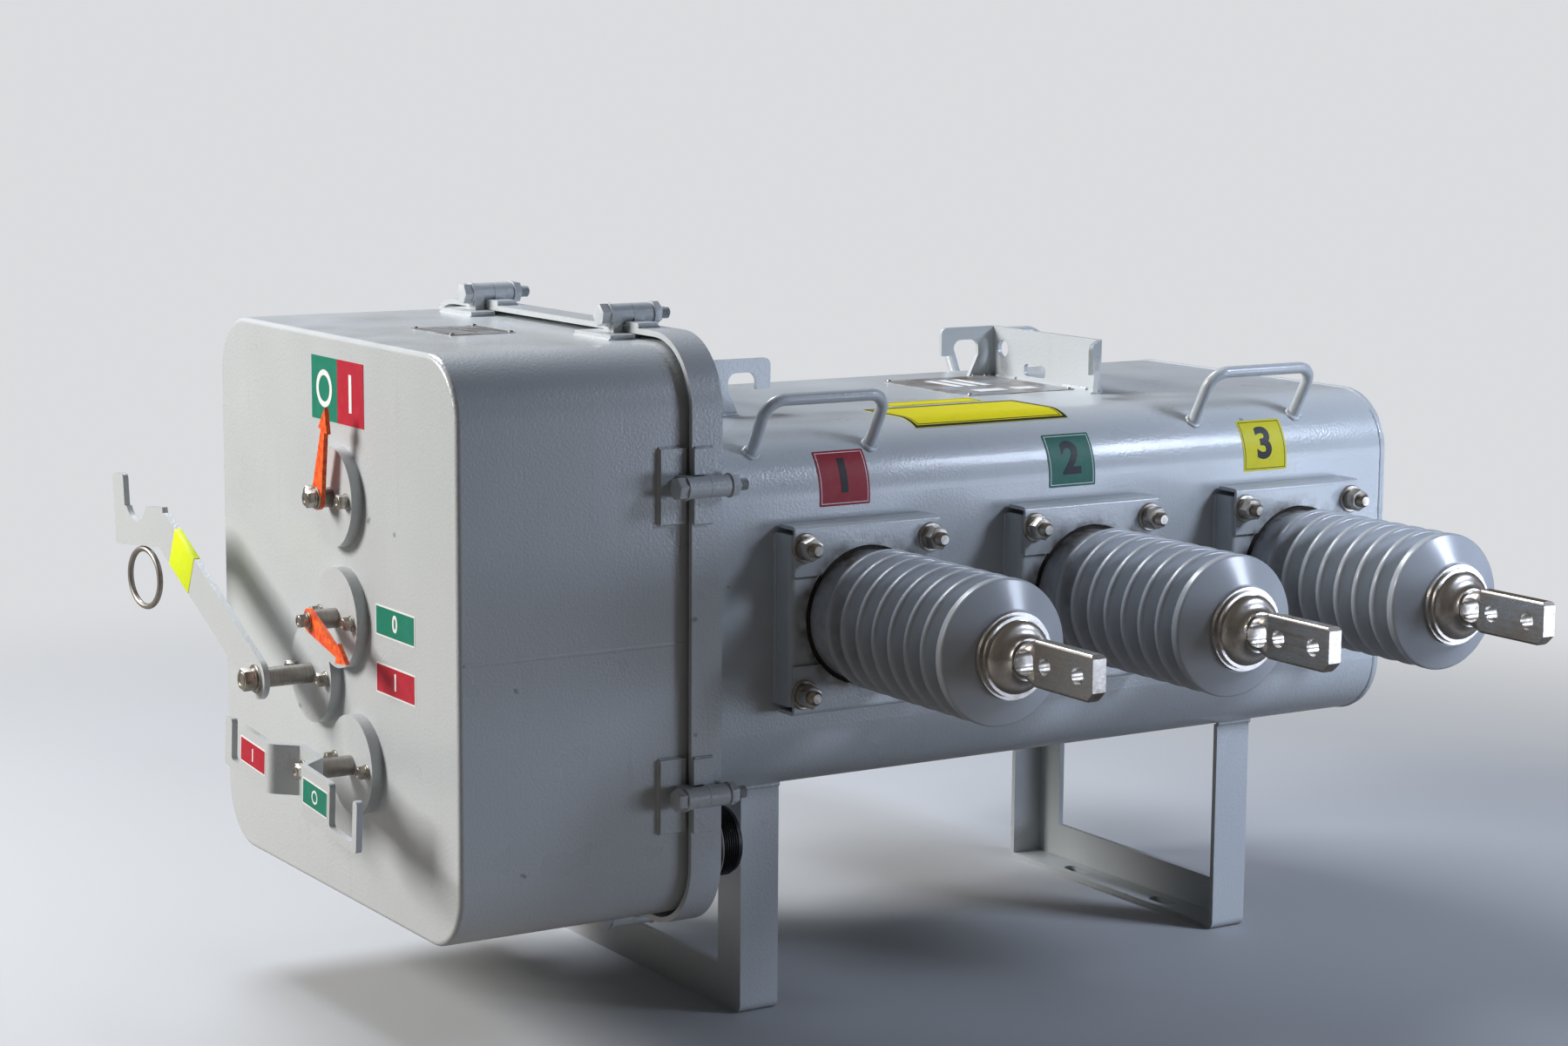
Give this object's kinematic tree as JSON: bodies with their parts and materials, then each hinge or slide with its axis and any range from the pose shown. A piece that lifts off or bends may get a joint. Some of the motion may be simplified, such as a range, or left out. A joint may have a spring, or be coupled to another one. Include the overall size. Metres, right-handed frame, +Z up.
{
  "type": "gas load break switch",
  "caption": "Pole-mounted load break switch: rounded gas tank on angle legs, ribbed bushings with blade terminals, deep mechanism cover with pointers, charging handle and hooked hand lever.",
  "frame": {"origin": "on the ground, under the middle of the whole object", "axes": "+X away from the mechanism cover, along the tank; -Y the pictured bushing side; +Z up"},
  "size_m": [1.006, 1.047, 0.585],
  "materials": {
    "grey_powder_coat": "glossy pale grey powder coat with a fine orange peel",
    "cast_resin": "glossy light grey insulator, dirty near the base",
    "tinned_metal": "tinned copper, worn satin",
    "cap_metal": "cast aluminium, smooth satin",
    "zinc_steel": "zinc-plated steel",
    "orange_paint": "worn fluorescent orange paint",
    "sealing_rubber": "dull black rubber",
    "black_socket": "black socket on a bright plate"
  },
  "bodies": {
    "switch": {"tank_shell": "grey_powder_coat", "tank_end_plate": "grey_powder_coat", "front_leg": "grey_powder_coat", "rear_leg": "grey_powder_coat", "cover_flange": "grey_powder_coat", "mechanism_cover": "grey_powder_coat", "spindle_bosses": "grey_powder_coat", "front_bracket": "grey_powder_coat", "rear_bracket": "grey_powder_coat", "near_grips": "grey_powder_coat", "far_grips": "grey_powder_coat", "cover_clamps": "grey_powder_coat", "flange_clamps": "grey_powder_coat", "clamp_strips": "grey_powder_coat", "bushing_base_near_1": "grey_powder_coat", "bushing_base_near_2": "grey_powder_coat", "bushing_base_near_3": "grey_powder_coat", "bushing_base_far_1": "grey_powder_coat", "bushing_base_far_2": "grey_powder_coat", "bushing_base_far_3": "grey_powder_coat", "insulator_near_1": "cast_resin", "insulator_near_2": "cast_resin", "insulator_near_3": "cast_resin", "insulator_far_1": "cast_resin", "insulator_far_2": "cast_resin", "insulator_far_3": "cast_resin", "terminal_near_1": "tinned_metal", "terminal_near_2": "tinned_metal", "terminal_near_3": "tinned_metal", "terminal_far_1": "tinned_metal", "terminal_far_2": "tinned_metal", "terminal_far_3": "tinned_metal", "terminal_caps": "cap_metal", "sealing_rings": "sealing_rubber", "cable_socket": "black_socket"},
    "position_indicator": {"position_spindle": "zinc_steel", "position_pointer": "orange_paint"},
    "charge_indicator": {"charge_spindle": "zinc_steel", "charge_pointer": "orange_paint"},
    "charging_crank": {"handle_spindle": "zinc_steel", "charging_handle": "grey_powder_coat", "handle_ring": "zinc_steel"},
    "lever": {"lever_spindle": "zinc_steel", "hand_lever": "grey_powder_coat"}
  },
  "joints": [
    {"name": "position_turn", "type": "hinge", "parent": "switch", "child": "position_indicator", "pos_m": [-0.433, -0.021, 0.433], "axis": [-1, 0, 0], "range_deg": [0, 37]},
    {"name": "charge_turn", "type": "hinge", "parent": "switch", "child": "charge_indicator", "pos_m": [-0.433, -0.028, 0.3375], "axis": [-1, 0, 0], "range_deg": [0, 24]},
    {"name": "charging_swing", "type": "hinge", "parent": "switch", "child": "charging_crank", "pos_m": [-0.433, 0.023, 0.2845], "axis": [-1, 0, 0], "range_deg": [0, 60]},
    {"name": "lever_swing", "type": "hinge", "parent": "switch", "child": "lever", "pos_m": [-0.433, -0.053, 0.2235], "axis": [-1, 0, 0], "range_deg": [-10, 20]}
  ]
}
